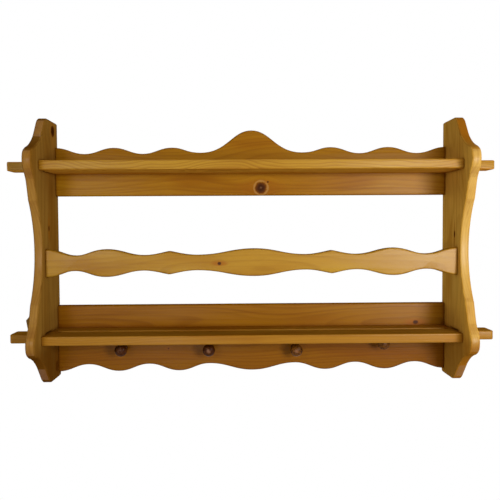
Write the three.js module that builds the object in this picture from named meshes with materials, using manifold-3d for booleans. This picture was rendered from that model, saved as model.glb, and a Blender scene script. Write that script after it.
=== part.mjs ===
// Wall plate rack in varnished pine: two scrolled side panels, two shelves whose through tenons are
// locked outside the panels by tusk wedges, two scalloped back rails, a waved plate rail and four pegs.
//
// Units are millimetres. X runs to the right, Y towards the wall and Z up. The wall plane is Y = 0, so a
// depth, which is a distance from the wall, is -Y. The origin is on the back of the upper rail.

import * as THREE from 'three';
import { mergeVertices } from 'three/addons/utils/BufferGeometryUtils.js';
import Module from 'manifold-3d';

const wasm = await Module();
wasm.setup();

// ---------------------------------------------------------------- driving dimensions

// Carcase
const innerWidth = 834;
const bayHeight = 328;
const footDrop = 88;
const earRise = 91;
const sideThickness = 18;
const shelfThickness = 18;
const railThickness = 18;
const plateRailThickness = 18;
const arris = 2;
const fitGap = 0.3;

// Side panel outline: depths from the wall, and heights above the middle of the upper shelf. The
// lower half is the upper half turned over, with a narrower foot in place of the ear.
const waistDepth = 109;
const hollowEndDepth = 140;
const hollowEndHeight = -70;
const cheekDepth = 150;
const cheekHeight = -37;
const noseDepth = 172;
const noseHeight = 5;
const noseFlow = 18;
const browDepth = 150;
const browHeight = 33;
const browSlope = 0.31;
const browFlow = 16;
const neckDepth = 104;
const neckHeight = 64;
const neckFlow = 14;
const earDepth = 79;
const footDepth = 73;
const earRadius = 12;
const earBackRadius = 4;
const footBackRadius = 7;

// Shelves and their tenons. A tenon's root runs on into the shelf, where it stops the plate groove.
const shelfDepth = 112;
const shelfArris = 2.5;
const tenonWidth = 44;
const tenonSetback = 29;
const tenonProjection = 55;
const tenonCornerRadius = 6;
const tenonArris = 1.5;
const tenonRoot = 12;
const mortiseHeadroom = 2.5;
const mortiseSideroom = 0.5;

// Plate groove along the lower shelf
const grooveFrontDepth = 77;
const grooveWidth = 18;
const grooveCut = 6;

// Tusk wedges: the width is measured at the middle of the tenon
const wedgeWidth = 21;
const wedgeTaper = 0.17;
const wedgeThickness = 11;
const wedgeTail = 22;
const wedgeArris = 1;
const wedgeCrest = 9;
const wedgeRiseHome = 15;
const wedgeRiseProud = 35;
const slotDraw = 3;

// Upper back rail: its lower edge hangs below the upper shelf, and its waves stand above it
const upperRailDrop = 46.5;
const upperRailValley = 25;
const upperRailPeak = 38;
const crownRise = 74;
const crownFootRise = 27;
const crownHalfWidth = 108;
const crownFlow = 0.38;
const crownFootFlow = 0.52;

// Lower back rail: its top stands above the lower shelf, and its waves hang below it
const lowerRailRise = 47.5;
const lowerRailArch = 62;
const lowerRailLobe = 77;
const middleLobeHalfWidth = 93;

// Each half of a back rail has two and a half waves between the middle feature and the side panel
const wavesPerHalf = 2.5;
const waveFlow = 0.42;

// Plate rail: the height of its centre line above the lower shelf, and its half heights. Its necks,
// knuckle and bulge are placed by their share of half the inner width.
const plateRailHeight = 142.5;
const plateRailSetback = 13;
const plateRailBulge = 28;
const plateRailKnuckle = 23.5;
const plateRailNeck = 15.5;
const knuckleFlow = 0.12;
const innerNeckShare = 0.261;
const knuckleShare = 0.386;
const midNeckShare = 0.506;
const bulgeShare = 0.69;
const endNeckShare = 0.85;

// Pegs: each is bored at its own height below the lower shelf
const pegSpacing = 185;
const pegDrops = [26, 27.5, 29, 16];
const pegSpigotRadius = 6;
const pegSpigotLength = 13;
const pegCollarRadius = 9;
const pegCollarLength = 5;
const pegNeckRadius = 5.5;
const pegNeckLength = 20;
const pegHeadRadius = 12.5;
const pegHeadLength = 15;

// Dowels in the rail ends
const dowelRadius = 4;
const dowelLength = 28;
const dowelBevel = 1;
const dowelEndRoom = 1;
const backRailDowelInset = 24;
const plateRailDowelInset = 13;

// Screws: those of the shelves pass through the back rails, and those of the hangers hold their plates
const shelfScrew = { headRadius: 4, headLength: 2.6, shankRadius: 1.9, length: 42, tipLength: 5 };
const hangerScrew = { headRadius: 2.8, headLength: 1.8, shankRadius: 1.3, length: 15, tipLength: 3 };
const screwRim = 0.4;
const screwTipRadius = 0.4;
const outerScrewInset = 67;
const innerScrewX = 130;
const recessShare = 0.62;
const recessWidth = 0.9;
const recessDepth = 1.3;

// Keyhole hanger plates, let into the back edges of the side panels near the top
const hangerWidth = 13;
const hangerHeight = 46;
const hangerThickness = 1.6;
const hangerDrop = 42;
const hangerScrewInset = 5.5;
const keyholeRadius = 4.2;
const keyholeSlotRadius = 2.3;
const keyholeSlotLength = 12;
const keyholeDrop = 6;
const pocketDepth = 10;
const pocketMargin = 1.2;

// The origin's height above the lower edge of the upper rail
const originRise = 43.5;

// Fineness of the curves
const curveSteps = 6;
const arrisSteps = 1;
const waveStride = 7;
const pegCurveSteps = 4;
const smallCurveSteps = 3;
const turnedSides = 16;
const fastenerSides = 8;

// ---------------------------------------------------------------- derived places

const innerHalf = innerWidth / 2;
const outerHalf = innerHalf + sideThickness;
const lowerShelfZ = footDrop;
const lowerShelfTop = lowerShelfZ + shelfThickness;
const upperShelfZ = lowerShelfTop + bayHeight;
const upperShelfTop = upperShelfZ + shelfThickness;
const panelHeight = upperShelfTop + earRise;
const panelMiddle = panelHeight / 2;
const shelfBackDepth = railThickness + fitGap;
const shelfFrontDepth = railThickness + shelfDepth;
const tenonFrontDepth = shelfFrontDepth - tenonSetback;
const tenonBackDepth = tenonFrontDepth - tenonWidth;
const tenonMiddleDepth = (tenonFrontDepth + tenonBackDepth) / 2;
const upperRailZ = upperShelfZ - upperRailDrop;
const lowerRailTop = lowerShelfTop + lowerRailRise;
const plateRailZ = lowerShelfTop + plateRailHeight;
const plateRailFrontDepth = waistDepth - plateRailSetback;
const railHalfLength = innerHalf - fitGap;
const outerScrewX = innerHalf - outerScrewInset;
const shelfScrewX = [-outerScrewX, -innerScrewX, innerScrewX, outerScrewX];
const hangerZ = panelHeight - hangerDrop;
const originHeight = upperRailZ + originRise;

// ---------------------------------------------------------------- materials

const pine = new THREE.MeshStandardMaterial({ color: 0xc08a3e, roughness: 0.42, metalness: 0 });
const wedgePine = new THREE.MeshStandardMaterial({ color: 0xa8742f, roughness: 0.5, metalness: 0 });
const pegWood = new THREE.MeshStandardMaterial({ color: 0x5a2a16, roughness: 0.3, metalness: 0 });
const dowelWood = new THREE.MeshStandardMaterial({ color: 0xd8b888, roughness: 0.7, metalness: 0 });
const steel = new THREE.MeshStandardMaterial({ color: 0xb9bcc0, roughness: 0.35, metalness: 1 });
const brass = new THREE.MeshStandardMaterial({ color: 0xc9a24a, roughness: 0.32, metalness: 1 });

// ---------------------------------------------------------------- solids

// Shapes are drawn flat and then turned: an elevation faces the viewer and grows towards them, a
// section has depth for its x and grows to the left, and a plan has depth for its y and grows down.
const right = new THREE.Vector3(1, 0, 0);
const outwards = new THREE.Vector3(0, -1, 0);
const up = new THREE.Vector3(0, 0, 1);
const elevation = new THREE.Matrix4().makeBasis(right, up, outwards);
const section = new THREE.Matrix4().makeBasis(outwards, up, right.clone().negate());
const plan = new THREE.Matrix4().makeBasis(right, outwards, up.clone().negate());

function solidFrom(geometry) {
  const bare = new THREE.BufferGeometry();
  bare.setAttribute('position', geometry.getAttribute('position'));
  if (geometry.index) {
    bare.setIndex(geometry.index);
  }
  const merged = mergeVertices(bare, 1e-4);
  return new wasm.Manifold(new wasm.Mesh({
    numProp: 3,
    vertProperties: merged.getAttribute('position').array,
    triVerts: new Uint32Array(merged.index.array),
  }));
}

function geometryFrom(solid) {
  const mesh = solid.getMesh();
  const geometry = new THREE.BufferGeometry();
  geometry.setAttribute('position', new THREE.BufferAttribute(mesh.vertProperties, mesh.numProp));
  geometry.setIndex(new THREE.BufferAttribute(mesh.triVerts, 1));
  geometry.computeVertexNormals();
  return geometry;
}

// A board of the outline's full size, with both faces' edges eased.
function board(outline, thickness, ease, view, steps = curveSteps) {
  const geometry = new THREE.ExtrudeGeometry(outline, {
    depth: thickness - 2 * ease,
    curveSegments: steps,
    bevelEnabled: ease > 0,
    bevelThickness: ease,
    bevelSize: ease,
    bevelOffset: -ease,
    bevelSegments: arrisSteps,
  });
  geometry.translate(0, 0, ease);
  return solidFrom(geometry.applyMatrix4(view));
}

function block(low, high) {
  const size = high.map((value, axis) => value - low[axis]);
  const middle = high.map((value, axis) => (value + low[axis]) / 2);
  return solidFrom(new THREE.BoxGeometry(...size).translate(...middle));
}

// A turned piece about the Y axis: the profile lists [radius, depth] from end to end.
function turned(profile, sides) {
  const points = profile.map(([radius, depth]) => new THREE.Vector2(radius, depth));
  return new THREE.LatheGeometry(points, sides).rotateX(Math.PI);
}

// A rod along X for a dowel or its hole.
function rod(radius, length, bevel) {
  const half = length / 2;
  const profile = [[0, -half], [radius - bevel, -half], [radius, bevel - half]];
  profile.push([radius, half - bevel], [radius - bevel, half], [0, half]);
  return turned(profile, fastenerSides).rotateZ(Math.PI / 2);
}

// ---------------------------------------------------------------- edges with waves

// Carries a path through turning points, level at each: [x, z, flow], flow being the share of the
// way to the next point for which the edge keeps its level.
function waveThrough(path, stations) {
  stations.slice(1).forEach(([x, z, flow = waveFlow], index) => {
    const [lastX, lastZ, lastFlow = waveFlow] = stations[index];
    const span = x - lastX;
    const wave = new THREE.CubicBezierCurve(
      new THREE.Vector2(lastX, lastZ),
      new THREE.Vector2(lastX + span * lastFlow, lastZ),
      new THREE.Vector2(x - span * flow, z),
      new THREE.Vector2(x, z));
    const steps = Math.ceil(Math.abs(span) / waveStride);
    wave.getPoints(steps).slice(1).forEach((point) => path.lineTo(point.x, point.y));
  });
}

function mirrored(stations) {
  const leftSide = stations.slice(1).map(([x, ...rest]) => [-x, ...rest]).reverse();
  return [...leftSide, ...stations];
}

// Turning points from the middle of a back rail to its end: near and far heights take turns.
function railStations(middleX, near, far) {
  const step = (innerHalf - middleX) / wavesPerHalf / 2;
  const count = wavesPerHalf * 2;
  return Array.from({ length: count + 1 }, (_, index) => [
    middleX + index * step,
    index % 2 === 0 ? near : far,
  ]);
}

// A rail whose outline runs past its ends is cut square to its length.
function trimmedRail(outline, thickness, frontDepth) {
  const rail = board(outline, thickness, arris, elevation).translate(0, thickness - frontDepth, 0);
  const reach = panelHeight;
  return rail.intersect(block([-railHalfLength, -reach, -reach], [railHalfLength, reach, 2 * reach]));
}

const overrun = 3 * arris;

function upperRailOutline() {
  const waves = railStations(crownHalfWidth, upperShelfTop + upperRailValley, upperShelfTop + upperRailPeak);
  const crown = [0, upperShelfTop + crownRise, crownFlow];
  const crownFoot = [crownHalfWidth, upperShelfTop + crownFootRise, crownFootFlow];
  const stations = mirrored([crown, crownFoot, ...waves.slice(1)]);
  const outline = new THREE.Shape();
  const end = innerHalf + overrun;
  outline.moveTo(end, upperRailZ);
  outline.lineTo(end, stations.at(-1)[1]);
  const leftwards = stations.slice().reverse();
  outline.lineTo(leftwards[0][0], leftwards[0][1]);
  waveThrough(outline, leftwards);
  outline.lineTo(-end, stations[0][1]);
  outline.lineTo(-end, upperRailZ);
  return outline;
}

function lowerRailOutline() {
  const bottom = railStations(middleLobeHalfWidth, lowerShelfZ - lowerRailArch, lowerShelfZ - lowerRailLobe);
  const stations = mirrored([[0, lowerShelfZ - lowerRailLobe], ...bottom]);
  const outline = new THREE.Shape();
  const end = innerHalf + overrun;
  outline.moveTo(-end, lowerRailTop);
  outline.lineTo(-end, stations[0][1]);
  outline.lineTo(stations[0][0], stations[0][1]);
  waveThrough(outline, stations);
  outline.lineTo(end, stations.at(-1)[1]);
  outline.lineTo(end, lowerRailTop);
  return outline;
}

function plateRailOutline() {
  const halfHeights = [
    [0, plateRailBulge],
    [innerNeckShare, plateRailNeck],
    [knuckleShare, plateRailKnuckle, knuckleFlow],
    [midNeckShare, plateRailNeck],
    [bulgeShare, plateRailBulge],
    [endNeckShare, plateRailNeck],
    [1, plateRailBulge],
  ];
  const edge = (way) => mirrored(halfHeights).map(([share, half, ...flow]) => (
    [share * innerHalf, plateRailZ + way * half, ...flow]));
  const below = edge(-1);
  const above = edge(1).reverse();
  const outline = new THREE.Shape();
  const end = innerHalf + overrun;
  outline.moveTo(-end, below[0][1]);
  outline.lineTo(below[0][0], below[0][1]);
  waveThrough(outline, below);
  outline.lineTo(end, below.at(-1)[1]);
  outline.lineTo(end, above[0][1]);
  outline.lineTo(above[0][0], above[0][1]);
  waveThrough(outline, above);
  outline.lineTo(-end, above.at(-1)[1]);
  return outline;
}

// ---------------------------------------------------------------- side panels

// The front edge from the middle of the waist up to the tip of the ear, as points of depth and of
// height above the middle.
function frontEdge(tipDepth) {
  const shelfMiddle = upperShelfZ + shelfThickness / 2 - panelMiddle;
  const hollowEnd = shelfMiddle + hollowEndHeight;
  const cheek = shelfMiddle + cheekHeight;
  const nose = shelfMiddle + noseHeight;
  const brow = shelfMiddle + browHeight;
  const neck = shelfMiddle + neckHeight;
  const top = panelHeight - panelMiddle;
  const sagitta = hollowEndDepth - waistDepth;
  const hollowRadius = (hollowEnd ** 2 + sagitta ** 2) / (2 * sagitta);
  const cheekRun = new THREE.Vector2(cheekDepth - hollowEndDepth, cheek - hollowEnd).normalize();
  const earRun = new THREE.Vector2(tipDepth - neckDepth, top - neck).normalize();

  const edge = new THREE.Path();
  edge.moveTo(waistDepth, 0);
  edge.absarc(waistDepth + hollowRadius, 0, hollowRadius, Math.PI,
    Math.PI - Math.asin(hollowEnd / hollowRadius), true);
  edge.lineTo(cheekDepth, cheek);
  edge.bezierCurveTo(
    cheekDepth + cheekRun.x * noseFlow, cheek + cheekRun.y * noseFlow,
    noseDepth, nose - noseFlow,
    noseDepth, nose);
  edge.bezierCurveTo(
    noseDepth, nose + browFlow,
    browDepth + browFlow, brow - browSlope * browFlow,
    browDepth, brow);
  edge.bezierCurveTo(
    browDepth - browFlow, brow + browSlope * browFlow,
    neckDepth - earRun.x * neckFlow, neck - earRun.y * neckFlow,
    neckDepth, neck);
  edge.lineTo(tipDepth - earRun.x * earRadius, top - earRun.y * earRadius);
  edge.quadraticCurveTo(tipDepth, top, tipDepth - earRadius, top);
  return edge.getPoints(curveSteps);
}

function sideOutline() {
  const upper = frontEdge(earDepth);
  const lower = frontEdge(footDepth).slice(1).map((point) => new THREE.Vector2(point.x, -point.y)).reverse();
  const top = panelHeight - panelMiddle;
  const outline = new THREE.Shape();
  outline.moveTo(0, footBackRadius - top);
  outline.quadraticCurveTo(0, -top, footBackRadius, -top);
  [...lower, ...upper].forEach((point) => outline.lineTo(point.x, point.y));
  outline.lineTo(earBackRadius, top);
  outline.quadraticCurveTo(0, top, 0, top - earBackRadius);
  return outline;
}

// A side panel stands with its bottom at Z = 0 and its middle plane at X = 0; side is 1 for the
// right panel and -1 for the left one.
function sidePanel(side) {
  const innerX = -side * sideThickness / 2;
  let panel = board(sideOutline(), sideThickness, arris, section);
  panel = panel.translate(sideThickness / 2, 0, panelMiddle);
  for (const shelfZ of [lowerShelfZ, upperShelfZ]) {
    panel = panel.subtract(block(
      [-sideThickness, -tenonFrontDepth - mortiseSideroom, shelfZ - fitGap],
      [sideThickness, mortiseSideroom - tenonBackDepth, shelfZ + shelfThickness + mortiseHeadroom]));
  }
  for (const { depth, z } of dowelPlaces()) {
    panel = panel.subtract(dowelHole().translate(innerX, -depth, z));
  }
  panel = panel.subtract(hangerPlateSolid(fitGap).translate(0, 0, hangerZ));
  panel = panel.subtract(hangerPocket().translate(0, 0, hangerZ));
  for (const z of hangerScrewHeights()) {
    panel = panel.subtract(screwHole(hangerScrew).translate(0, 0, z));
  }
  return geometryFrom(panel);
}

// ---------------------------------------------------------------- shelves and wedges

function shelfSection(grooved) {
  const outline = new THREE.Shape();
  outline.moveTo(shelfBackDepth, 0);
  outline.lineTo(shelfFrontDepth - shelfArris, 0);
  outline.quadraticCurveTo(shelfFrontDepth, 0, shelfFrontDepth, shelfArris);
  outline.lineTo(shelfFrontDepth, shelfThickness - shelfArris);
  outline.quadraticCurveTo(shelfFrontDepth, shelfThickness, shelfFrontDepth - shelfArris, shelfThickness);
  if (grooved) {
    outline.lineTo(grooveFrontDepth, shelfThickness);
    outline.lineTo(grooveFrontDepth, shelfThickness - grooveCut);
    outline.lineTo(grooveFrontDepth - grooveWidth, shelfThickness - grooveCut);
    outline.lineTo(grooveFrontDepth - grooveWidth, shelfThickness);
  }
  outline.lineTo(shelfBackDepth, shelfThickness);
  return outline;
}

// The right tenon in plan, from inside the shelf to its rounded outer end.
function tenonOutline() {
  const end = outerHalf + tenonProjection;
  const outline = new THREE.Shape();
  outline.moveTo(railHalfLength - tenonRoot, tenonBackDepth);
  outline.lineTo(end - tenonCornerRadius, tenonBackDepth);
  outline.quadraticCurveTo(end, tenonBackDepth, end, tenonBackDepth + tenonCornerRadius);
  outline.lineTo(end, tenonFrontDepth - tenonCornerRadius);
  outline.quadraticCurveTo(end, tenonFrontDepth, end - tenonCornerRadius, tenonFrontDepth);
  outline.lineTo(railHalfLength - tenonRoot, tenonFrontDepth);
  return outline;
}

// The wedge's outer face slopes: this is its distance from the side panel at a height above the
// tenon's underside.
function wedgeReach(height) {
  return wedgeWidth + wedgeTaper * (height - shelfThickness / 2);
}

// The slot is open through the tenon. Its outer wall follows the wedge, and its inner wall lies
// inside the panel's mortise, so that the wedge pulls against the panel.
function wedgeSlot() {
  const low = -shelfThickness;
  const high = 2 * shelfThickness;
  const outline = new THREE.Shape();
  outline.moveTo(outerHalf - slotDraw, low);
  outline.lineTo(outerHalf + 2 * fitGap + wedgeReach(low), low);
  outline.lineTo(outerHalf + 2 * fitGap + wedgeReach(high), high);
  outline.lineTo(outerHalf - slotDraw, high);
  const width = wedgeThickness + 2 * fitGap;
  return board(outline, width, 0, elevation).translate(0, width / 2 - tenonMiddleDepth, 0);
}

// A shelf lies with its underside at Z = 0.
function shelf(grooved) {
  const length = 2 * railHalfLength;
  let solid = board(shelfSection(grooved), length, 0, section).translate(length / 2, 0, 0);
  let tenon = board(tenonOutline(), shelfThickness, tenonArris, plan).translate(0, 0, shelfThickness);
  tenon = tenon.subtract(wedgeSlot());
  solid = solid.add(tenon).add(tenon.rotate(0, 0, 180).translate(0, -2 * tenonMiddleDepth, 0));
  for (const x of shelfScrewX) {
    solid = solid.subtract(screwHole(shelfScrew).translate(x, 0, shelfThickness / 2));
  }
  return geometryFrom(solid);
}

// A right-hand wedge stands on the panel's outer face, with the tenon's underside at Z = 0.
function wedge(rise) {
  const low = -wedgeTail;
  const high = shelfThickness + rise;
  const outline = new THREE.Shape();
  outline.moveTo(0, low);
  outline.lineTo(wedgeReach(low), low);
  outline.lineTo(wedgeReach(high - wedgeCrest), high - wedgeCrest);
  outline.lineTo(wedgeReach(high) - wedgeCrest, high);
  outline.lineTo(0, high);
  const solid = board(outline, wedgeThickness, wedgeArris, elevation);
  return geometryFrom(solid.translate(0, wedgeThickness / 2, 0));
}

// ---------------------------------------------------------------- pegs, dowels, screws, hangers

function pegProfile() {
  const headStart = pegCollarLength + pegNeckLength;
  const tip = headStart + pegHeadLength;
  const path = new THREE.Path();
  path.moveTo(0, -pegSpigotLength);
  path.lineTo(pegSpigotRadius, -pegSpigotLength);
  path.lineTo(pegSpigotRadius, fitGap);
  path.lineTo(pegCollarRadius, fitGap);
  path.quadraticCurveTo(pegCollarRadius, pegCollarLength, pegNeckRadius, pegCollarLength);
  path.lineTo(pegNeckRadius, headStart - pegCollarLength);
  path.quadraticCurveTo(pegNeckRadius, headStart, pegHeadRadius, headStart + pegHeadLength / 4);
  path.bezierCurveTo(
    pegHeadRadius + arris, headStart + pegHeadLength / 2,
    pegHeadRadius - arris, tip,
    0, tip);
  return path.getPoints(pegCurveSteps).map((point) => [point.x, point.y]);
}

function pegHole() {
  const radius = pegSpigotRadius + fitGap;
  const deep = pegSpigotLength + fitGap;
  return solidFrom(turned([[0, -deep], [radius, -deep], [radius, arris], [0, arris]], turnedSides));
}

function pegPlaces() {
  const firstX = -pegSpacing * (pegDrops.length - 1) / 2;
  return pegDrops.map((drop, index) => ({ x: firstX + index * pegSpacing, z: lowerShelfZ - drop }));
}

// Dowels lie along X, half in a rail's end and half in the side panel.
function dowelHole() {
  return solidFrom(rod(dowelRadius + fitGap, dowelLength + 2 * dowelEndRoom, dowelBevel));
}

const dowelHeights = {
  upper_rail: [upperRailZ + backRailDowelInset, upperShelfTop + upperRailPeak - backRailDowelInset],
  lower_rail: [lowerShelfZ - lowerRailLobe + backRailDowelInset, lowerRailTop - backRailDowelInset],
  plate_rail: [
    plateRailZ - plateRailBulge + plateRailDowelInset,
    plateRailZ + plateRailBulge - plateRailDowelInset,
  ],
};

function dowelDepth(rail) {
  return rail === 'plate_rail' ? plateRailFrontDepth - plateRailThickness / 2 : railThickness / 2;
}

function dowelPlaces(onlyRail) {
  const rails = onlyRail ? [onlyRail] : Object.keys(dowelHeights);
  return rails.flatMap((rail) => dowelHeights[rail].map((z, index) => (
    { rail, z, depth: dowelDepth(rail), number: index + 1 })));
}

// A countersunk wood screw along Y: its head is level with the wall plane and its tip points outwards.
function screwProfile({ headRadius, headLength, shankRadius, length, tipLength }, room) {
  return [
    [0, -room],
    [headRadius + room, -room],
    [headRadius + room, screwRim],
    [shankRadius + room, headLength],
    [shankRadius + room, length - tipLength],
    [screwTipRadius + room, length + room],
    [0, length + room],
  ];
}

function screwHole(size) {
  return solidFrom(turned(screwProfile(size, fitGap), fastenerSides));
}

function screw(size) {
  let solid = solidFrom(turned(screwProfile(size, 0), fastenerSides));
  const half = size.headRadius * recessShare;
  for (const [halfX, halfZ] of [[half, recessWidth / 2], [recessWidth / 2, half]]) {
    solid = solid.subtract(block([-halfX, -recessDepth, -halfZ], [halfX, recessDepth, halfZ]));
  }
  return geometryFrom(solid);
}

function roundedBar(width, height) {
  const outline = new THREE.Shape();
  const radius = width / 2;
  const straight = height / 2 - radius;
  outline.absarc(0, straight, radius, 0, Math.PI, false);
  outline.absarc(0, -straight, radius, Math.PI, 2 * Math.PI, false);
  return outline;
}

// The hanger plate's body, flush with the wall plane and centred on its own height.
function hangerPlateSolid(room) {
  const outline = roundedBar(hangerWidth + 2 * room, hangerHeight + 2 * room);
  const solid = board(outline, hangerThickness + 2 * room, 0, elevation, smallCurveSteps);
  return solid.translate(0, room, 0);
}

// A keyhole: a round mouth for a screw's head, and above it a slot for the shank.
function keyholeSolid(mouthRadius, slotRadius, deep) {
  const mouth = turned([[0, -arris], [mouthRadius, -arris], [mouthRadius, deep], [0, deep]], turnedSides);
  const bar = roundedBar(2 * slotRadius, keyholeSlotLength + 2 * slotRadius);
  const slot = board(bar, deep + arris, 0, elevation, smallCurveSteps);
  const keyhole = solidFrom(mouth).add(slot.translate(0, arris, keyholeSlotLength / 2));
  return keyhole.translate(0, 0, -keyholeDrop);
}

// Room for the wall screw's head behind the whole keyhole.
function hangerPocket() {
  const radius = keyholeRadius + pocketMargin;
  return keyholeSolid(radius, radius, pocketDepth);
}

function hangerScrewOffsets() {
  const offset = hangerHeight / 2 - hangerScrewInset;
  return [-offset, offset];
}

function hangerScrewHeights() {
  return hangerScrewOffsets().map((offset) => hangerZ + offset);
}

function hangerPlate() {
  const keyhole = keyholeSolid(keyholeRadius, keyholeSlotRadius, 2 * hangerThickness);
  let solid = hangerPlateSolid(0).subtract(keyhole);
  for (const offset of hangerScrewOffsets()) {
    solid = solid.subtract(screwHole(hangerScrew).translate(0, 0, offset));
  }
  return geometryFrom(solid);
}

// ---------------------------------------------------------------- rails with their holes

function backRail(name, outline, shelfZ) {
  let solid = trimmedRail(outline, railThickness, railThickness);
  for (const x of shelfScrewX) {
    solid = solid.subtract(screwHole(shelfScrew).translate(x, 0, shelfZ + shelfThickness / 2));
  }
  return withDowelHoles(solid, name);
}

function upperRail() {
  return geometryFrom(backRail('upper_rail', upperRailOutline(), upperShelfZ));
}

function lowerRail() {
  let solid = backRail('lower_rail', lowerRailOutline(), lowerShelfZ);
  for (const { x, z } of pegPlaces()) {
    solid = solid.subtract(pegHole().translate(x, -railThickness, z));
  }
  return geometryFrom(solid);
}

function plateRail() {
  const solid = trimmedRail(plateRailOutline(), plateRailThickness, plateRailFrontDepth);
  return geometryFrom(withDowelHoles(solid, 'plate_rail'));
}

function withDowelHoles(rail, name) {
  let solid = rail;
  for (const { depth, z } of dowelPlaces(name)) {
    for (const side of [-1, 1]) {
      solid = solid.subtract(dowelHole().translate(side * innerHalf, -depth, z));
    }
  }
  return solid;
}

// ---------------------------------------------------------------- assembly

const rack = new THREE.Group();
rack.position.z = -originHeight;
const sides = [{ name: 'left', side: -1 }, { name: 'right', side: 1 }];
const shelves = [{ level: 'lower', z: lowerShelfZ }, { level: 'upper', z: upperShelfZ }];

function place(parent, name, geometry, material, x, y, z) {
  const mesh = new THREE.Mesh(geometry, material.clone());
  mesh.name = name;
  mesh.position.set(x, y, z);
  parent.add(mesh);
  return mesh;
}

// Carcase
for (const { name, side } of sides) {
  place(rack, `side_panel_${name}`, sidePanel(side), pine, side * (innerHalf + sideThickness / 2), 0, 0);
}
for (const { level, z } of shelves) {
  place(rack, `shelf_${level}`, shelf(level === 'lower'), pine, 0, 0, z);
}
place(rack, 'back_rail_upper', upperRail(), pine, 0, 0, 0);
place(rack, 'back_rail_lower', lowerRail(), pine, 0, 0, 0);
place(rack, 'plate_rail', plateRail(), pine, 0, 0, 0);

// Pegs
pegPlaces().forEach(({ x, z }, index) => {
  place(rack, `peg_${index + 1}`, turned(pegProfile(), turnedSides), pegWood, x, -railThickness, z);
});

// Tusk wedges: the lower left one stands prouder of its tenon than the others
for (const { level, z } of shelves) {
  for (const { name, side } of sides) {
    const proud = level === 'lower' && side < 0;
    const seat = new THREE.Group();
    seat.position.set(side * (outerHalf + fitGap), -tenonMiddleDepth, z);
    seat.rotation.z = side < 0 ? Math.PI : 0;
    rack.add(seat);
    place(seat, `wedge_${level}_${name}`, wedge(proud ? wedgeRiseProud : wedgeRiseHome), wedgePine, 0, 0, 0);
  }
}

// Dowels
for (const { rail, depth, z, number } of dowelPlaces()) {
  for (const { name, side } of sides) {
    const geometry = rod(dowelRadius, dowelLength, dowelBevel);
    place(rack, `dowel_${rail}_${name}_${number}`, geometry, dowelWood, side * innerHalf, -depth, z);
  }
}

// Shelf screws
for (const { level, z } of shelves) {
  shelfScrewX.forEach((x, index) => {
    const name = `shelf_screw_${level}_${index + 1}`;
    place(rack, name, screw(shelfScrew), steel, x, 0, z + shelfThickness / 2);
  });
}

// Hangers
for (const { name, side } of sides) {
  const hanger = new THREE.Group();
  hanger.position.set(side * (innerHalf + sideThickness / 2), 0, hangerZ);
  rack.add(hanger);
  place(hanger, `hanger_plate_${name}`, hangerPlate(), brass, 0, 0, 0);
  hangerScrewOffsets().forEach((offset, index) => {
    place(hanger, `hanger_screw_${name}_${index + 1}`, screw(hangerScrew), steel, 0, 0, offset);
  });
}

export default rack;
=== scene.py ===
"""A pine wall plate rack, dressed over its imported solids.

The boards, wedges, dowels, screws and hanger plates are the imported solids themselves, with a smoother skin
and a procedural finish. Finer turnings take the place of the four pegs, and the plate rail is made again
with its waves as they were sawn. Everything is in metres, in the row frame: X along the rack, Y towards
the wall and Z up.
"""

import math

import bpy
from mathutils import Euler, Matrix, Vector


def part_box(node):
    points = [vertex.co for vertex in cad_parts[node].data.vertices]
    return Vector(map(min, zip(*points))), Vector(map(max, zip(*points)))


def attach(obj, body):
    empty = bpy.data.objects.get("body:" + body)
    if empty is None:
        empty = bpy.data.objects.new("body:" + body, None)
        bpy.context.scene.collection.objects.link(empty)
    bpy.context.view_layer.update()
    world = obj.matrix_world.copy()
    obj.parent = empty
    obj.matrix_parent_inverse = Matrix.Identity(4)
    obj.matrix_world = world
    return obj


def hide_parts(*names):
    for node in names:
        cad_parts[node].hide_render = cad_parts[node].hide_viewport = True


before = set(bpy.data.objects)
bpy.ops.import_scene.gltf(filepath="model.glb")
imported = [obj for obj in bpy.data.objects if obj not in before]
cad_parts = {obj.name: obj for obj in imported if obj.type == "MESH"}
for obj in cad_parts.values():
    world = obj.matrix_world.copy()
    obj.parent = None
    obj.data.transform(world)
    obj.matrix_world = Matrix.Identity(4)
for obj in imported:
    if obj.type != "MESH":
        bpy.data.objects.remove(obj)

MM = 0.001
ROOT = "root"

# Axes by their place in a point.
X, Y, Z = 0, 1, 2

# Samples for each look at a point's corners and edges.
CORNER_SAMPLES = 6
BEVEL_SAMPLES = 6


# --------------------------------------------------------------------------------------------------
# Node helpers
# --------------------------------------------------------------------------------------------------

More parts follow.
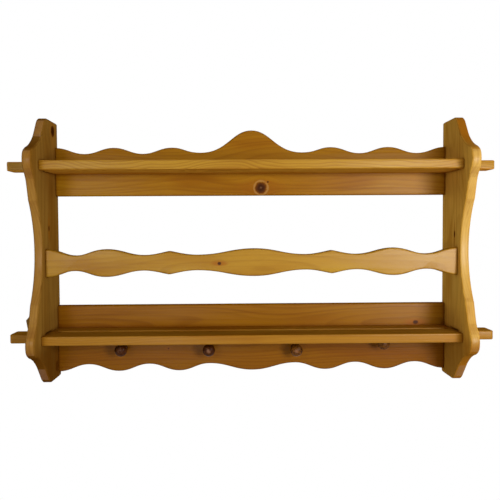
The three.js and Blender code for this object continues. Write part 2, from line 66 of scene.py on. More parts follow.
class Graph:
    """A material's node tree, built with one short call for each node."""

    def __init__(self, name):
        self.material = bpy.data.materials.new(name)
        self.material.use_nodes = True
        self.tree = self.material.node_tree
        self.tree.nodes.clear()

    def feed(self, socket, value):
        """Links a socket to another, or gives it a value of its own."""
        if isinstance(value, bpy.types.NodeSocket):
            self.tree.links.new(value, socket)
        else:
            socket.default_value = value

    def add(self, kind, inputs=None, **settings):
        """A new node with these settings, and these values or links on its sockets."""
        node = self.tree.nodes.new(kind)
        for key, value in settings.items():
            setattr(node, key, value)
        for key, value in (inputs or {}).items():
            self.feed(node.inputs[key], value)
        return node

    def math(self, operation, *terms):
        """One Math node's result."""
        node = self.add("ShaderNodeMath", operation=operation)
        for socket, term in zip(node.inputs, terms):
            self.feed(socket, term)
        return node.outputs[0]

    def times(self, first, second):
        """The product of two values."""
        return self.math("MULTIPLY", first, second)

    def total(self, *terms):
        """The sum of several values."""
        result = terms[0]
        for term in terms[1:]:
            result = self.math("ADD", result, term)
        return result

    def point(self, x, y, z):
        """A vector from three values."""
        return self.add("ShaderNodeCombineXYZ", {"X": x, "Y": y, "Z": z}).outputs[0]

    def place(self):
        """The point in metres, as its X, Y and Z."""
        place = self.add("ShaderNodeTexCoord").outputs["Object"]
        return self.add("ShaderNodeSeparateXYZ", {"Vector": place}).outputs

    def noise(self, place, scale=1.0, detail=2.0, roughness=0.5):
        """Smooth noise from 0 to 1, about 0.5."""
        inputs = {"Vector": place, "Scale": scale, "Detail": detail, "Roughness": roughness}
        return self.add("ShaderNodeTexNoise", inputs).outputs[0]

    def step(self, value, start, end):
        """0 before start and 1 after end, with a soft rise between them."""
        inputs = {"Value": value, "From Min": start, "From Max": end}
        node = self.add("ShaderNodeMapRange", inputs, interpolation_type="SMOOTHSTEP")
        return node.outputs[0]

    def span(self, value, low, high):
        """A value of 0 to 1 spread over low to high."""
        return self.add("ShaderNodeMapRange", {"Value": value, "To Min": low, "To Max": high}).outputs[0]

    def mix(self, factor, first, second, blend="MIX"):
        """One colour mixed into another."""
        node = self.add("ShaderNodeMix", data_type="RGBA", blend_type=blend)
        for index, value in ((0, factor), (6, first), (7, second)):
            self.feed(node.inputs[index], value)
        return node.outputs[2]

    def eased_normal(self, radius):
        """The normal as if every edge were eased to this radius."""
        return self.add("ShaderNodeBevel", {"Radius": radius}, samples=BEVEL_SAMPLES).outputs[0]

    def true_normal(self):
        """The face's own normal."""
        return self.add("ShaderNodeNewGeometry").outputs["True Normal"]

    def arris(self, eased):
        """1 on an edge between two faces, and 0 out on the faces."""
        inputs = {0: self.true_normal(), 1: eased}
        facing = self.add("ShaderNodeVectorMath", inputs, operation="DOT_PRODUCT").outputs["Value"]
        return self.step(facing, 0.98, 0.80)

    def end_grain(self, axis):
        """1 where a face cuts across the grain, which runs along this axis."""
        parts = self.add("ShaderNodeSeparateXYZ", {"Vector": self.true_normal()}).outputs
        return self.step(self.math("ABSOLUTE", parts[axis]), 0.35, 0.90)

    def forward_face(self):
        """1 where a face looks forward, even if it slopes, and 0 on faces that look sideways."""
        parts = self.add("ShaderNodeSeparateXYZ", {"Vector": self.true_normal()}).outputs
        return self.step(parts[Y], -0.30, -0.70)

    def corner(self, reach):
        """1 deep in a corner between surfaces, and 0 out in the open."""
        node = self.add("ShaderNodeAmbientOcclusion", {"Distance": reach}, samples=CORNER_SAMPLES)
        return self.step(node.outputs["AO"], 0.85, 0.40)

    def finish(self, color, roughness, height, depth, normal=None, **constants):
        """Closes the material with one shader; depth is the relief's height in metres."""
        bump = self.add("ShaderNodeBump", {"Height": height, "Distance": depth, "Strength": 1.0})
        if normal is not None:
            self.feed(bump.inputs["Normal"], normal)
        shader = self.add("ShaderNodeBsdfPrincipled")
        self.feed(shader.inputs["Base Color"], color)
        self.feed(shader.inputs["Roughness"], roughness)
        self.feed(shader.inputs["Normal"], bump.outputs[0])
        for name, value in constants.items():
            shader.inputs[name.replace("_", " ")].default_value = value
        output = self.add("ShaderNodeOutputMaterial")
        self.tree.links.new(shader.outputs[0], output.inputs["Surface"])
        return self.material


def shade(red, green, blue):
    """An opaque colour."""
    return (red, green, blue, 1.0)


def toned(tone, shares):
    """A colour made from another by a share of each of its channels."""
    return shade(*(value * share for value, share in zip(tone, shares)))


# --------------------------------------------------------------------------------------------------
# Varnished pine
# --------------------------------------------------------------------------------------------------

# Each board has one tone, and some boards a second one on their matt faces that paints light or shade into
# them. Its late wood, and the redder and paler drifts of the old varnish, follow from that by these shares
# of the tone's channels.
LATE_SHARE = (0.56, 0.42, 0.24)
RED_SHARE = (0.80, 0.66, 0.40)
PALE_SHARE = (1.10, 1.20, 1.45)
KNOT_WOOD = shade(0.110, 0.030, 0.002)
KNOT_HEART = shade(0.048, 0.012, 0.001)
KNOT_PITH = shade(0.170, 0.080, 0.035)
KNOT_RING = shade(0.420, 0.220, 0.060)
KNOT_HALO = shade(0.300, 0.095, 0.004)
# A knot's redder streak is this many times longer along the grain than across it.
STREAK_STRETCH = 2.6

FIBRE_DEPTH = 0.00012
# Painted shade in the corners, with some grime and pooled varnish, reaches this far out of a corner, and is
# as dark as the share below.
CORNER_REACH = 0.012
CORNER_SHADE_AND_GRIME = 0.75
# The stain took darker on the arrises, and on end grain.
ARRIS_STAIN = 0.80
END_STAIN = 0.70


def stretched_noise(graph, place, scales, detail):
    """Noise that is drawn out where its scale is small."""
    scaled = [graph.times(value, scale) for value, scale in zip(place, scales)]
    return graph.noise(graph.point(*scaled), 1.0, detail)


def board_axes(graph, axes, seed):
    """The point in the board's own directions: along the grain, across the face, and through the board."""
    place = graph.place()
    along, across, through = (place[axis] for axis in axes)
    return along, across, through, graph.math("ADD", along, seed)


def knot_distance(graph, along, across, knot, stretch):
    """How far a point is from a knot's centre, in knot radii, with an uneven rim."""
    u = graph.math("DIVIDE", graph.math("SUBTRACT", along, knot["along"]), knot["radius"] * stretch)
    v = graph.math("DIVIDE", graph.math("SUBTRACT", across, knot["across"]), knot["radius"])
    rim = graph.span(graph.noise(graph.point(u, v, knot["along"]), 1.6), -0.22, 0.22)
    squares = graph.total(graph.times(u, u), graph.times(v, v))
    return graph.math("ADD", graph.math("SQRT", squares), rim)


def bend_round_knot(graph, across, distance, knot):
    """Moves the grain lines aside, so that they flow round the knot."""
    near = graph.math("EXPONENT", graph.times(graph.math("POWER", distance, 2.0), -0.16))
    aside = graph.math("SUBTRACT", across, knot["across"])
    return graph.math("SUBTRACT", across, graph.times(aside, near))


def ring_drift(graph, place, reach):
    """How far the grain wanders aside at a point, in metres."""
    return graph.span(graph.noise(place, 1.0, 1.5), -reach, reach)


def growth_rings(graph, across, through, slowly, heart, ring):
    """How dark the late wood is at a point, from 0 to 1; slowly changes along the grain."""
    slow = graph.point(slowly, graph.times(across, 7.0), graph.times(through, 7.0))
    elsewhere = graph.add("ShaderNodeVectorMath", {0: slow, 1: (7.3, 2.9, 5.1)}).outputs[0]
    v = graph.total(across, -heart[0], ring_drift(graph, slow, 0.030))
    w = graph.total(through, -heart[1], ring_drift(graph, elsewhere, 0.024))
    radius = graph.math("SQRT", graph.total(graph.times(v, v), graph.times(w, w)))
    even = graph.math("DIVIDE", radius, ring)
    spacing = graph.noise(graph.point(graph.times(even, 0.55), 3.1, heart[0] * 40.0))
    count = graph.math("ADD", even, graph.span(spacing, -0.9, 0.9))
    share = graph.math("FRACT", count)
    rise = graph.step(share, 0.30, 0.86)
    fall = graph.step(share, 1.0, 0.90)
    ring_number = {"W": graph.math("FLOOR", count)}
    chance = graph.add("ShaderNodeTexWhiteNoise", ring_number, noise_dimensions="1D").outputs[0]
    return graph.times(graph.times(rise, fall), graph.span(chance, 0.45, 1.0))


def varnish_drifts(graph, color, broad, pale):
    """The old varnish's slow drifts: redder in some places, and paler in others."""
    redder = graph.mix(1.0, color, shade(*RED_SHARE), "MULTIPLY")
    color = graph.mix(graph.times(graph.step(broad, 0.44, 0.70), 0.80), color, redder)
    paler = graph.mix(1.0, color, shade(*PALE_SHARE), "MULTIPLY")
    return graph.mix(graph.times(graph.step(pale, 0.52, 0.75), 0.80), color, paler)


def stains_and_shade(graph, eased, along, across, grain_axis, soaked, shadow_bands):
    """Where the colour lies darker, each with its share: stain on arrises and end grain, painted corner
    shade with some grime, painted shade at the shaded ends, and painted shadow in the shadow bands.
    """
    # The corner mask paints the shade that gathers in corners, together with some grime.
    found = [(graph.corner(CORNER_REACH), CORNER_SHADE_AND_GRIME), (graph.arris(eased), ARRIS_STAIN),
             (graph.end_grain(grain_axis), END_STAIN)]
    forward = graph.forward_face()
    # Each shaded end paints shade along the grain, by one share on broad faces and another on forward faces.
    for start, end, broad_share, front_share in soaked:
        found.append((graph.step(along, start, end), graph.span(forward, broad_share, front_share)))
    # Each shadow band paints a cast shadow across the board.
    for start, end, share in shadow_bands:
        found.append((graph.step(across, start, end), share))
    return found


def pine(name, tone, axes, heart, seed, ring=0.0048, contrast=0.36, knots=(), gloss=0.27, specular=0.12,
         rounding=0.0025, wander=2.2, soaked=(), shadow_bands=()):
    """Varnished pine for one board.

    axes are the board's directions along the grain, across its face and through it; heart is where the
    tree's centre runs, across and through, in the row frame. Shade is painted darker along the grain from
    the first to the second place of each shaded end: by one share on the broad faces and another on the
    front edge. A shadow is painted darker across the board from the first to the second place of each shadow
    band.
    """
    graph = Graph(name)
    late_tone = toned(tone, LATE_SHARE)
    along, across, through, shifted = board_axes(graph, axes, seed)
    distances = [knot_distance(graph, along, across, knot, knot["stretch"]) for knot in knots]
    bent = across
    for distance, knot in zip(distances, knots):
        bent = bend_round_knot(graph, bent, distance, knot)
    late = growth_rings(graph, bent, through, graph.times(shifted, wander), heart, ring)
    broad = stretched_noise(graph, (shifted, across, through), (4.0, 16.0, 16.0), 2.0)
    pale = stretched_noise(graph, (shifted, through, across), (2.5, 11.0, 11.0), 2.0)
    streak = stretched_noise(graph, (shifted, bent, through), (3.0, 130.0, 130.0), 3.0)
    fibre = stretched_noise(graph, (shifted, bent, through), (28.0, 1300.0, 1300.0), 2.0)

    color = graph.mix(graph.times(late, contrast), tone, late_tone)
    color = varnish_drifts(graph, color, broad, pale)
    color = graph.mix(graph.times(graph.step(streak, 0.50, 0.80), 0.50), color, late_tone)
    color = graph.mix(graph.times(graph.step(fibre, 0.45, 0.85), 0.28), color, late_tone)
    for distance, knot in zip(distances, knots):
        halo = knot_distance(graph, along, across, knot, knot["stretch"] * STREAK_STRETCH)
        color = paint_knot(graph, color, distance, halo, knot)

    eased = graph.eased_normal(rounding)
    for place, share in stains_and_shade(graph, eased, along, across, axes[0], soaked, shadow_bands):
        color = graph.mix(graph.times(place, share), color, toned(late_tone, RED_SHARE))

    roughness = graph.total(graph.span(broad, gloss - 0.04, gloss + 0.06), graph.span(fibre, -0.03, 0.04))
    height = graph.total(graph.times(late, 0.5), fibre)
    return graph.finish(color, roughness, height, FIBRE_DEPTH, eased, Specular_IOR_Level=specular)


def paint_knot(graph, color, distance, streak, knot):
    """A dark knot in a streak of redder wood; a ringed knot has a pale ring round it and a pale middle."""
    color = graph.mix(graph.times(graph.step(streak, 2.2, 0.8), knot["halo"]), color, KNOT_HALO)
    ring = graph.times(graph.step(distance, 1.02, 1.18), graph.step(distance, 1.50, 1.26))
    color = graph.mix(graph.times(ring, knot["ring"]), color, KNOT_RING)
    inside = graph.mix(graph.step(distance, 0.95, 0.45), KNOT_WOOD, KNOT_HEART)
    inside = graph.mix(graph.times(graph.step(distance, 0.26, 0.08), knot["ring"]), inside, KNOT_PITH)
    return graph.mix(graph.step(distance, 1.12, 0.86), color, inside)


def knot(along, across, radius, stretch=1.0, halo=0.5, ring=0.0):
    """A knot through a board: its place along and across in the row frame, and its size, in metres."""
    return {
        "along": along,
        "across": across,
        "radius": radius,
        "stretch": stretch,
        "halo": halo,
        "ring": ring,
    }


# The roughness of the faces that aren't polished.
MATT = 0.60
FRONT = (0.0, -1.0, 0.0)

# The boards' directions: along the grain, across the face, through the board.
RAIL_AXES = (X, Z, Y)
SHELF_AXES = (X, Y, Z)
SIDE_AXES = (Z, Y, X)

# The panels' edges are eased most, and the rails' more than the shelves'.
SIDE_ROUNDING = 0.005
RAIL_ROUNDING = 0.0035


def left_panel():
    """The left side panel: darker, with two large knots near its back edge and a small one between them."""
    return {
        "tone": shade(0.340, 0.168, 0.026),
        # The matt inner faces' darker tone is painted shade.
        "painted_lighting_tone": shade(0.262, 0.132, 0.020),
        "axes": SIDE_AXES,
        "heart": (-0.070, -0.620),
        "seed": 3.1,
        "rounding": SIDE_ROUNDING,
        "knots": [
            knot(-0.112, -0.0688, 0.0035, 1.8),
            knot(0.0917, -0.0330, 0.0120, 1.0, 0.3),
            knot(-0.405, -0.0290, 0.0100, 1.2, 0.3),
        ],
        # Painted shade: darker towards the foot, below the lower shelf, where the shelf shades it.
        "soaked": [(-0.325, -0.370, 0.72, 0.62)],
    }


def right_panel():
    """The right side panel: the palest board, with one small knot and a matt ear."""
    return {
        "tone": shade(0.565, 0.335, 0.075),
        # The matt inner faces' paler tone is painted light.
        "painted_lighting_tone": shade(0.630, 0.355, 0.055),
        "shine_top": 0.065,
        "axes": SIDE_AXES,
        "heart": (-0.060, 0.640),
        "seed": 8.7,
        "rounding": SIDE_ROUNDING,
        "knots": [knot(-0.128, -0.0766, 0.0030, 2.4)],
        # Painted shade: darker towards the foot, below the lower shelf, and on the ear's forward faces above
        # the upper shelf.
        "soaked": [(-0.315, -0.350, 0.50, 0.88), (0.026, 0.056, 0.20, 1.00)],
    }


def upper_shelf():
    """The upper shelf: strong flowing grain."""
    return {
        "tone": shade(0.42, 0.216, 0.018),
        # The matt top and underside's paler tone is painted light.
        "painted_lighting_tone": shade(0.62, 0.290, 0.030),
        "axes": SHELF_AXES,
        "heart": (-0.100, 0.045),
        "seed": 5.4,
        "contrast": 0.60,
        "wander": 5.5,
    }


def lower_shelf():
    """The lower shelf: straighter grain, with crisp edges at its groove."""
    return {
        "tone": shade(0.335, 0.147, 0.011),
        "axes": SHELF_AXES,
        "heart": (-0.060, -0.430),
        "seed": 1.9,
        "rounding": 0.0012,
    }


def upper_rail():
    """The upper back rail: a ringed knot near its middle, with two small ones by it."""
    return {
        "tone": shade(0.345, 0.152, 0.006),
        "axes": RAIL_AXES,
        "heart": (0.010, 0.040),
        "seed": 2.6,
        "specular": 0.06,
        "rounding": RAIL_ROUNDING,
        "knots": [
            knot(0.020, -0.0275, 0.0120, 1.0, 0.4, 0.6),
            knot(0.035, -0.0150, 0.0020),
            knot(-0.004, 0.0047, 0.0016, 3.0),
        ],
    }


def lower_rail():
    """The lower back rail: redder, with the shelf's shadow painted darker below the shelf."""
    return {
        "tone": shade(0.285, 0.112, 0.004),
        "axes": RAIL_AXES,
        "heart": (-0.330, 0.035),
        "seed": 7.2,
        "contrast": 0.46,
        "specular": 0.09,
        "rounding": RAIL_ROUNDING,
        # The lower shelf's shadow, painted on the rail below it.
        "shadow_bands": [(-0.335, -0.360, 0.36)],
        "knots": [
            knot(0.354, -0.3190, 0.0046, 1.3, 0.9),
            knot(-0.181, -0.3720, 0.0018),
        ],
    }


def front_rail():
    """The plate rail: plain wide grain, and one pin knot in a red streak."""
    return {
        "tone": shade(0.400, 0.206, 0.018),
        "axes": RAIL_AXES,
        "heart": (-0.200, -0.030),
        "seed": 9.5,
        "ring": 0.0055,
        "contrast": 0.30,
        "specular": 0.15,
        "rounding": RAIL_ROUNDING,
        "knots": [knot(-0.0675, -0.1845, 0.0033, 1.2, 0.8)],
    }


def board_finishes():
    """How each board looks, because each is cut from its own plank: the settings of its pine."""
    return {
        "shelf_upper": upper_shelf(),
        "shelf_lower": lower_shelf(),
        "back_rail_upper": upper_rail(),
        "back_rail_lower": lower_rail(),
        "plate_rail": front_rail(),
        "side_panel_left": left_panel(),
        "side_panel_right": right_panel(),
    }


def wedge_material():
    """The tusk wedges: the same pine in a darker tone, which paints in the shade they sit in."""
    tone = shade(0.200, 0.098, 0.010)
    return pine("pine_wedge", tone, SIDE_AXES, (0.040, 0.030), 6.3, ring=0.0030, gloss=0.36)


# --------------------------------------------------------------------------------------------------
# Peg, dowel and metal finishes
# --------------------------------------------------------------------------------------------------

def painted_highlight_middle(graph, cloud):
    """1 in the middle of a peg's head, where a paler patch paints in the head's highlight, and 0 towards its
    brim.
    """
    place = graph.add("ShaderNodeTexCoord").outputs["Generated"]
    across, _, up = graph.add("ShaderNodeSeparateXYZ", {"Vector": place}).outputs
    offsets = [graph.math("SUBTRACT", part, 0.5) for part in (across, up)]
    aside = graph.math("SQRT", graph.total(*(graph.times(offset, offset) for offset in offsets)))
    return graph.times(graph.step(aside, 0.26, 0.05), graph.step(cloud, 0.30, 0.62))


def peg_material():
    """Stained and polished hardwood, with the grain along the peg; the right-hand pegs are paler."""
    graph = Graph("peg_stained_wood")
    x, y, z = graph.place()
    grain = stretched_noise(graph, (x, y, z), (420.0, 30.0, 420.0), 3.0)
    cloud = stretched_noise(graph, (x, y, z), (90.0, 90.0, 90.0), 2.0)
    color = graph.mix(graph.step(x, -0.06, 0.06), shade(0.060, 0.014, 0.001), shade(0.150, 0.052, 0.004))
    color = graph.mix(graph.step(grain, 0.35, 0.70), color, shade(0.024, 0.006, 0.001))
    patches = graph.times(graph.step(cloud, 0.45, 0.75), 0.6)
    color = graph.mix(patches, color, shade(0.160, 0.054, 0.010))
    # A painted highlight: the head's middle is paler.
    color = graph.mix(graph.times(painted_highlight_middle(graph, cloud), 0.8), color, shade(0.260, 0.120, 0.060))
    roughness = graph.span(cloud, 0.14, 0.24)
    return graph.finish(color, roughness, grain, 0.00006, Specular_IOR_Level=0.06)


def dowel_material():
    """Bare beech with its short dark flecks."""
    graph = Graph("dowel_beech")
    fleck = stretched_noise(graph, graph.place(), (320.0, 2400.0, 2400.0), 2.0)
    color = graph.mix(graph.step(fleck, 0.52, 0.70), shade(0.62, 0.43, 0.24), shade(0.40, 0.24, 0.11))
    return graph.finish(color, graph.span(fleck, 0.55, 0.70), fleck, 0.00004)


def metal_material(name, bright, dull, roughness_low, roughness_high):
    """Metal with faint drawing lines and slow tarnish."""
    graph = Graph(name)
    place = graph.place()
    lines = stretched_noise(graph, place, (3000.0, 3000.0, 90.0), 2.0)
    tarnish = stretched_noise(graph, place, (160.0, 160.0, 160.0), 3.0)
    color = graph.mix(graph.step(tarnish, 0.40, 0.75), bright, dull)
    slow = graph.span(tarnish, roughness_low, roughness_high)
    roughness = graph.total(slow, graph.span(lines, -0.04, 0.06))
    return graph.finish(color, roughness, lines, 0.00002, Metallic=1.0)


# --------------------------------------------------------------------------------------------------
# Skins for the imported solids
# --------------------------------------------------------------------------------------------------

MERGE_DISTANCE = 0.00001
SHARP_ANGLE = math.radians(50.0)
# A face shines when its normal reaches this far along the front's direction and when it lies below this
# height, which is over the whole rack. A board can set a lower one.
SHINE_LIMIT = 0.75
SHINE_TOP = 1.0


def skin_nodes(name, shiny=None, shine_top=SHINE_TOP):
    """A node group that joins a solid's triangles and shades its curved edges smooth.

    The faces that look forward and lie below the shine's top get the shiny material, when there is one.
    """
    group = bpy.data.node_groups.new(name, "GeometryNodeTree")
    group.interface.new_socket("Geometry", in_out="INPUT", socket_type="NodeSocketGeometry")
    group.interface.new_socket("Geometry", in_out="OUTPUT", socket_type="NodeSocketGeometry")
    new = group.nodes.new
    chain = [new("NodeGroupInput"), new("GeometryNodeMergeByDistance"), new("GeometryNodeRemoveAttribute"),
             new("GeometryNodeSetShadeSmooth"), new("GeometryNodeSetShadeSmooth")]
    merge, forget, faces, edges = chain[1:]
    merge.inputs["Distance"].default_value = MERGE_DISTANCE
    forget.inputs["Name"].default_value = "custom_normal"
    faces.domain = "FACE"
    edges.domain = "EDGE"
    angle = new("GeometryNodeInputMeshEdgeAngle")
    group.links.new(compare(group, "LESS_THAN", angle.outputs["Unsigned Angle"], SHARP_ANGLE),
                    edges.inputs["Shade Smooth"])
    if shiny is not None:
        paint = new("GeometryNodeSetMaterial")
        paint.inputs["Material"].default_value = shiny
        group.links.new(shines(group, shine_top), paint.inputs["Selection"])
        chain.append(paint)
    chain.append(new("NodeGroupOutput"))
    for first, second in zip(chain, chain[1:]):
        group.links.new(first.outputs[0], second.inputs[0])
    return group


def compare(group, operation, value, limit):
    """Whether a value is beyond a limit."""
    node = group.nodes.new("FunctionNodeCompare")
    node.operation = operation
    node.inputs[1].default_value = limit
    group.links.new(value, node.inputs[0])
    return node.outputs[0]


def shines(group, top):
    """Whether a face looks towards the front and lies below a height."""
    normal = group.nodes.new("GeometryNodeInputNormal")
    reach = group.nodes.new("ShaderNodeVectorMath")
    reach.operation = "DOT_PRODUCT"
    reach.inputs[1].default_value = FRONT
    group.links.new(normal.outputs[0], reach.inputs[0])
    place = group.nodes.new("GeometryNodeInputPosition")
    height = group.nodes.new("ShaderNodeSeparateXYZ")
    group.links.new(place.outputs[0], height.inputs[0])
    both = group.nodes.new("FunctionNodeBooleanMath")
    both.operation = "AND"
    group.links.new(compare(group, "GREATER_THAN", reach.outputs["Value"], SHINE_LIMIT), both.inputs[0])
    group.links.new(compare(group, "LESS_THAN", height.outputs["Z"], top), both.inputs[1])
    return both.outputs[0]


def add_skin(node, group):
    """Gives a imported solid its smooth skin, with normals weighted to its flat faces."""
    skin = node.modifiers.new("skin", "NODES")
    skin.node_group = group
    normals = node.modifiers.new("normals", "WEIGHTED_NORMAL")
    normals.keep_sharp = True


# --------------------------------------------------------------------------------------------------
# The plate rail as it was sawn
# --------------------------------------------------------------------------------------------------

# Places along the plate rail, and how far its waves lie from their even spacing there, in metres.
WAVE_SHIFTS = (
    (-0.400, 0.0),
    (-0.300, -0.0090),
    (-0.150, -0.0080),
    (-0.060, 0.0),
    (0.0, 0.0030),
    (0.080, 0.0),
)


def wave_shift(x):
    """How far the waves are shifted at a place along the rail."""
    for (start, first), (end, second) in zip(WAVE_SHIFTS, WAVE_SHIFTS[1:]):
        if start <= x < end:
            share = (x - start) / (end - start)
            return first + (second - first) * share * share * (3 - 2 * share)
    return 0.0


def sawn_plate_rail(board, group):
    """The plate rail again, with waves that are a little unevenly spaced, as hand sawing leaves them."""
    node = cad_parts["plate_rail"]
    mesh = node.data.copy()
    for vertex in mesh.vertices:
        vertex.co.x += wave_shift(vertex.co.x)
    mesh.materials.clear()
    mesh.materials.append(board)
    rail = bpy.data.objects.new("plate_rail_sawn", mesh)
    bpy.context.scene.collection.objects.link(rail)
    add_skin(rail, group)
    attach(rail, ROOT)
    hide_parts("plate_rail")


# --------------------------------------------------------------------------------------------------
# Turned pegs
# --------------------------------------------------------------------------------------------------

PEG_NAMES = ("peg_1", "peg_2", "peg_3", "peg_4")
PEG_STEPS = 96
SPIGOT_RADIUS = 6.0 * MM
SPIGOT_LENGTH = 13.0 * MM
COLLAR_RADIUS = 9.0 * MM
COLLAR_LENGTH = 5.0 * MM
NECK_RADIUS = 5.5 * MM
NECK_LENGTH = 20.0 * MM
HEAD_RADIUS = 12.5 * MM
HEAD_LENGTH = 15.0 * MM
HEAD_SWELL = 2.0 * MM
FIT_GAP = 0.3 * MM
# A shallow bead that the turner cut round the head's face.
BEAD_RADIUS = 6.5 * MM
BEAD_WIDTH = 0.9 * MM
BEAD_DEPTH = 0.5 * MM


def curve(*controls, steps):
    """Points along a Bezier curve, without its first."""
    points = []
    for index in range(1, steps + 1):
        t = index / steps
        level = [Vector(point) for point in controls]
        while len(level) > 1:
            level = [first.lerp(second, t) for first, second in zip(level, level[1:])]
        points.append(level[0])
    return points


def peg_profile():
    """The turned outline, as radius and distance from the rail's face."""
    head_start = COLLAR_LENGTH + NECK_LENGTH
    tip = head_start + HEAD_LENGTH
    neck_end = (NECK_RADIUS, head_start - COLLAR_LENGTH)
    brim = (HEAD_RADIUS, head_start + HEAD_LENGTH / 4)
    collar_start = (COLLAR_RADIUS, FIT_GAP)
    collar_edge = (COLLAR_RADIUS, COLLAR_LENGTH)
    neck_start = (NECK_RADIUS, COLLAR_LENGTH)
    spigot = ((SPIGOT_RADIUS, -SPIGOT_LENGTH), (SPIGOT_RADIUS, FIT_GAP), collar_start)
    profile = [Vector(point) for point in spigot]
    profile += curve(collar_start, collar_edge, neck_start, steps=10)
    profile.append(Vector(neck_end))
    profile += curve(neck_end, (NECK_RADIUS, head_start), brim, steps=12)
    belly = (HEAD_RADIUS + HEAD_SWELL, head_start + HEAD_LENGTH / 2)
    crown = (HEAD_RADIUS - HEAD_SWELL, tip)
    profile += curve(brim, belly, crown, (0.0, tip), steps=48)[:-1]
    for point in profile:
        if point.y > head_start:
            point.y -= BEAD_DEPTH * math.exp(-((point.x - BEAD_RADIUS) / BEAD_WIDTH) ** 2)
    return profile


def turned_points(profile, centre_x, face_y, centre_z):
    """The profile swept round the peg's axis, which runs out of the rail along -Y."""
    points = []
    for radius, distance in profile:
        for index in range(PEG_STEPS):
            angle = 2 * math.pi * index / PEG_STEPS
            x = centre_x + radius * math.cos(angle)
            z = centre_z + radius * math.sin(angle)
            points.append((x, face_y - distance, z))
    return points


def turned_faces(count):
    """Faces between the rings of a turning with this many points, and fans to its back and front centres."""
    back = count
    front = count + 1
    last = count - PEG_STEPS
    faces = []
    for index in range(PEG_STEPS):
        after = (index + 1) % PEG_STEPS
        faces.append((back, index, after))
        faces.append((front, last + after, last + index))
        for row in range(0, last, PEG_STEPS):
            ahead = row + PEG_STEPS
            faces.append((row + index, ahead + index, ahead + after, row + after))
    return faces


def turned_peg(name, node, material):
    """A finer turning in a packed peg's place."""
    low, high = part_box(node)
    centre_x = (low.x + high.x) / 2
    centre_z = (low.z + high.z) / 2
    points = turned_points(peg_profile(), centre_x, high.y - SPIGOT_LENGTH, centre_z)
    ends = [(centre_x, high.y, centre_z), (centre_x, low.y, centre_z)]
    mesh = bpy.data.meshes.new(name)
    mesh.from_pydata(points + ends, [], turned_faces(len(points)))
    mesh.polygons.foreach_set("use_smooth", [True] * len(mesh.polygons))
    mesh.set_sharp_from_angle(angle=SHARP_ANGLE)
    mesh.materials.append(material)
    peg = bpy.data.objects.new(name, mesh)
    bpy.context.scene.collection.objects.link(peg)
    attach(peg, ROOT)
    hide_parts(node)


# --------------------------------------------------------------------------------------------------
# Stage, light and camera
# --------------------------------------------------------------------------------------------------

FLOOR_HEIGHT = -1.5
FLOOR_SIZE = 3.2
FLOOR_GLOW = 0.8
AMBIENT = 0.18

CAMERA_PLACE = (-0.02719, -1.33543, -0.11120)
SENSOR_WIDTH = 36.0
LENS = 44.193
# How far the camera looks down, leans and turns, in radians.
CAMERA_PITCH = -0.03740
CAMERA_ROLL = 0.00546
CAMERA_YAW = -0.01754


def clear_stage():
    """Removes whatever the new file came with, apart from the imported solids."""
    for name in ("Cube", "Light", "Camera"):
        found = bpy.data.objects.get(name)
        if found is not None:
            bpy.data.objects.remove(found, do_unlink=True)


def seen_directly(tree):
    """1 for rays that show the background: straight to the camera, mirrored or through glass."""
    path = tree.nodes.new("ShaderNodeLightPath")
    result = path.outputs["Is Camera Ray"]
    for name in ("Is Glossy Ray", "Is Transmission Ray"):
        join = tree.nodes.new("ShaderNodeMath")
        join.operation = "MAXIMUM"
        tree.links.new(result, join.inputs[0])
        tree.links.new(path.outputs[name], join.inputs[1])
        result = join.outputs[0]
    return result


def colored(tree, kind, color, strength=None):
    """One light or surface node of this colour."""
    node = tree.nodes.new(kind)
    node.inputs["Color"].default_value = color
    if strength is not None:
        node.inputs["Strength"].default_value = strength
    return node


def close_mix(tree, factor, first, second, output_kind):
    """Ends a tree with one surface mixed into another."""
    mix = tree.nodes.new("ShaderNodeMixShader")
    output = tree.nodes.new(output_kind)
    tree.links.new(factor, mix.inputs[0])
    tree.links.new(first.outputs[0], mix.inputs[1])
    tree.links.new(second.outputs[0], mix.inputs[2])
    tree.links.new(mix.outputs[0], output.inputs["Surface"])


def set_world():
    """A white background that lights the object at a lower, plain level."""
    world = bpy.data.worlds.new("studio")
    bpy.context.scene.world = world
    world.use_nodes = True
    tree = world.node_tree
    tree.nodes.clear()
    soft = colored(tree, "ShaderNodeBackground", shade(1.0, 0.98, 0.95), AMBIENT)
    white = colored(tree, "ShaderNodeBackground", shade(1.0, 1.0, 1.0), 1.0)
    close_mix(tree, seen_directly(tree), soft, white, "ShaderNodeOutputWorld")


def floor_material():
    """Matt and pale, and close to the background's white where it is seen directly."""
    material = bpy.data.materials.new("pale_floor")
    material.use_nodes = True
    tree = material.node_tree
    tree.nodes.clear()
    matt = colored(tree, "ShaderNodeBsdfDiffuse", shade(0.80, 0.80, 0.79))
    glow = colored(tree, "ShaderNodeEmission", shade(1.0, 1.0, 1.0), 1.0)
    share = tree.nodes.new("ShaderNodeMath")
    share.operation = "MULTIPLY"
    share.inputs[1].default_value = FLOOR_GLOW
    tree.links.new(seen_directly(tree), share.inputs[0])
    close_mix(tree, share.outputs[0], matt, glow, "ShaderNodeOutputMaterial")
    return material


def add_floor():
    """A pale floor well below the rack, which keeps its soft shadow."""
    half = FLOOR_SIZE / 2
    corners = [(-half, -half), (half, -half), (half, half), (-half, half)]
    mesh = bpy.data.meshes.new("floor")
    mesh.from_pydata([(x, y, FLOOR_HEIGHT) for x, y in corners], [], [(0, 1, 2, 3)])
    mesh.materials.append(floor_material())
    floor = bpy.data.objects.new("floor", mesh)
    bpy.context.scene.collection.objects.link(floor)


def add_lamp(name, place, target, width, height, power):
    """A soft box that faces its target."""
    data = bpy.data.lights.new(name, "AREA")
    data.shape = "RECTANGLE"
    data.size = width
    data.size_y = height
    data.energy = power
    lamp = bpy.data.objects.new(name, data)
    lamp.location = place
    lamp.rotation_euler = (Vector(target) - Vector(place)).to_track_quat("-Z", "Y").to_euler()
    bpy.context.scene.collection.objects.link(lamp)


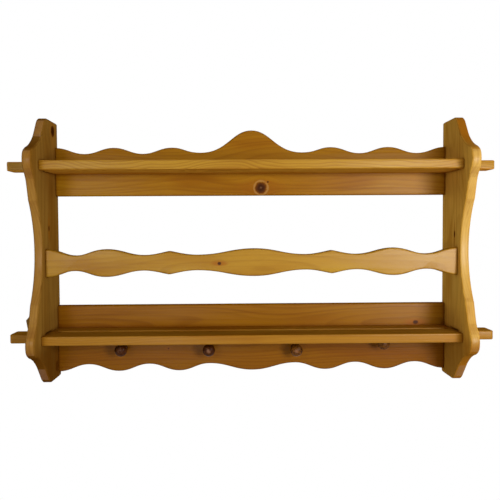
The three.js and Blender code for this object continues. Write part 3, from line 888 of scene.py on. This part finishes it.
def add_lamps():
    """Boxes beside the camera, which the varnish mirrors, and plainer ones all round."""
    middle = (0.0, -0.08, -0.15)
    add_lamp("left", (-0.68, -1.335, -0.02), (-0.30, -0.05, -0.15), 0.25, 0.3, 3.2)
    add_lamp("right_high", (0.70, -1.335, 0.02), (0.36, -0.05, -0.15), 0.55, 0.2, 9.2)
    add_lamp("right_low", (0.82, -1.335, -0.27), (0.40, -0.05, -0.15), 0.36, 0.25, 8.0)
    add_lamp("low_left", (-0.31, -1.335, -0.50), (-0.17, -0.02, -0.31), 0.16, 0.32, 1.3)
    add_lamp("middle", (-0.10, -1.335, 0.02), middle, 0.06, 0.06, 0.2)
    add_lamp("high", (0.2, -1.40, 0.75), middle, 1.2, 0.4, 1.2)
    add_lamp("low", (0.2, -1.10, -1.30), middle, 1.2, 0.4, 0.4)
    add_lamp("top", (0.0, -0.05, 1.50), middle, 1.2, 0.3, 5.0)
    add_lamp("back", (0.0, 1.60, 0.10), middle, 1.4, 0.8, 12.0)
    add_lamp("outer_left", (-1.60, -0.08, -0.15), middle, 0.4, 0.4, 6.0)
    add_lamp("outer_right", (1.60, -0.08, -0.15), middle, 0.4, 0.4, 6.0)


def add_camera():
    """The photograph's viewpoint."""
    data = bpy.data.cameras.new("camera")
    data.sensor_width = SENSOR_WIDTH
    data.lens = LENS
    camera = bpy.data.objects.new("camera", data)
    camera.location = CAMERA_PLACE
    turn = Euler((0.0, 0.0, CAMERA_YAW)).to_matrix()
    tilt = Euler((math.pi / 2 + CAMERA_PITCH, 0.0, 0.0)).to_matrix()
    lean = Euler((0.0, 0.0, -CAMERA_ROLL)).to_matrix()
    camera.rotation_euler = (turn @ tilt @ lean).to_euler()
    bpy.context.scene.collection.objects.link(camera)
    bpy.context.scene.camera = camera


# --------------------------------------------------------------------------------------------------
# The scene
# --------------------------------------------------------------------------------------------------

def slot_finishes():
    """The finishes of everything that isn't a board, by the record's slot names."""
    return {
        "wedge_pine": wedge_material(),
        "peg_wood": peg_material(),
        "dowel_wood": dowel_material(),
        "steel": metal_material("zinc_steel", shade(0.62, 0.62, 0.60), shade(0.42, 0.41, 0.38), 0.28, 0.45),
        "brass": metal_material("brass", shade(0.70, 0.50, 0.20), shade(0.42, 0.27, 0.10), 0.30, 0.48),
    }


def dress_boards():
    """Every board's matt finish, in a painted lighter or darker tone where a board has one, and the skin
    that gives its front a shiny one.
    """
    boards = {}
    for name, settings in board_finishes().items():
        # The matt faces take the board's painted lighting tone, where it has one.
        painted_lighting_tone = settings.pop("painted_lighting_tone", settings["tone"])
        shine_top = settings.pop("shine_top", SHINE_TOP)
        shiny = pine("pine_" + name, **settings)
        settings.update(tone=painted_lighting_tone, gloss=MATT, specular=0.0)
        matt = pine("pine_matt_" + name, **settings)
        boards[name] = (matt, skin_nodes("skin_" + name, shiny, shine_top))
    return boards


def dress_nodes(slots, boards):
    """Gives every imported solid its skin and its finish."""
    plain_skin = skin_nodes("smooth_skin")
    for name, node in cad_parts.items():
        board, group = boards.get(name, (None, plain_skin))
        for material_slot in node.material_slots:
            slot_name = material_slot.material.name.split(".")[0]
            material_slot.material = board or slots[slot_name]
        add_skin(node, group)


def main():
    """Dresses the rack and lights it."""
    clear_stage()
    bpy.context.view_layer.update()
    finishes = slot_finishes()
    boards = dress_boards()
    dress_nodes(finishes, boards)
    sawn_plate_rail(*boards["plate_rail"])
    for name in PEG_NAMES:
        turned_peg(name + "_turned", name, finishes["peg_wood"])
    set_world()
    add_floor()
    add_lamps()
    add_camera()
    bpy.context.scene.view_settings.view_transform = "Standard"


main()
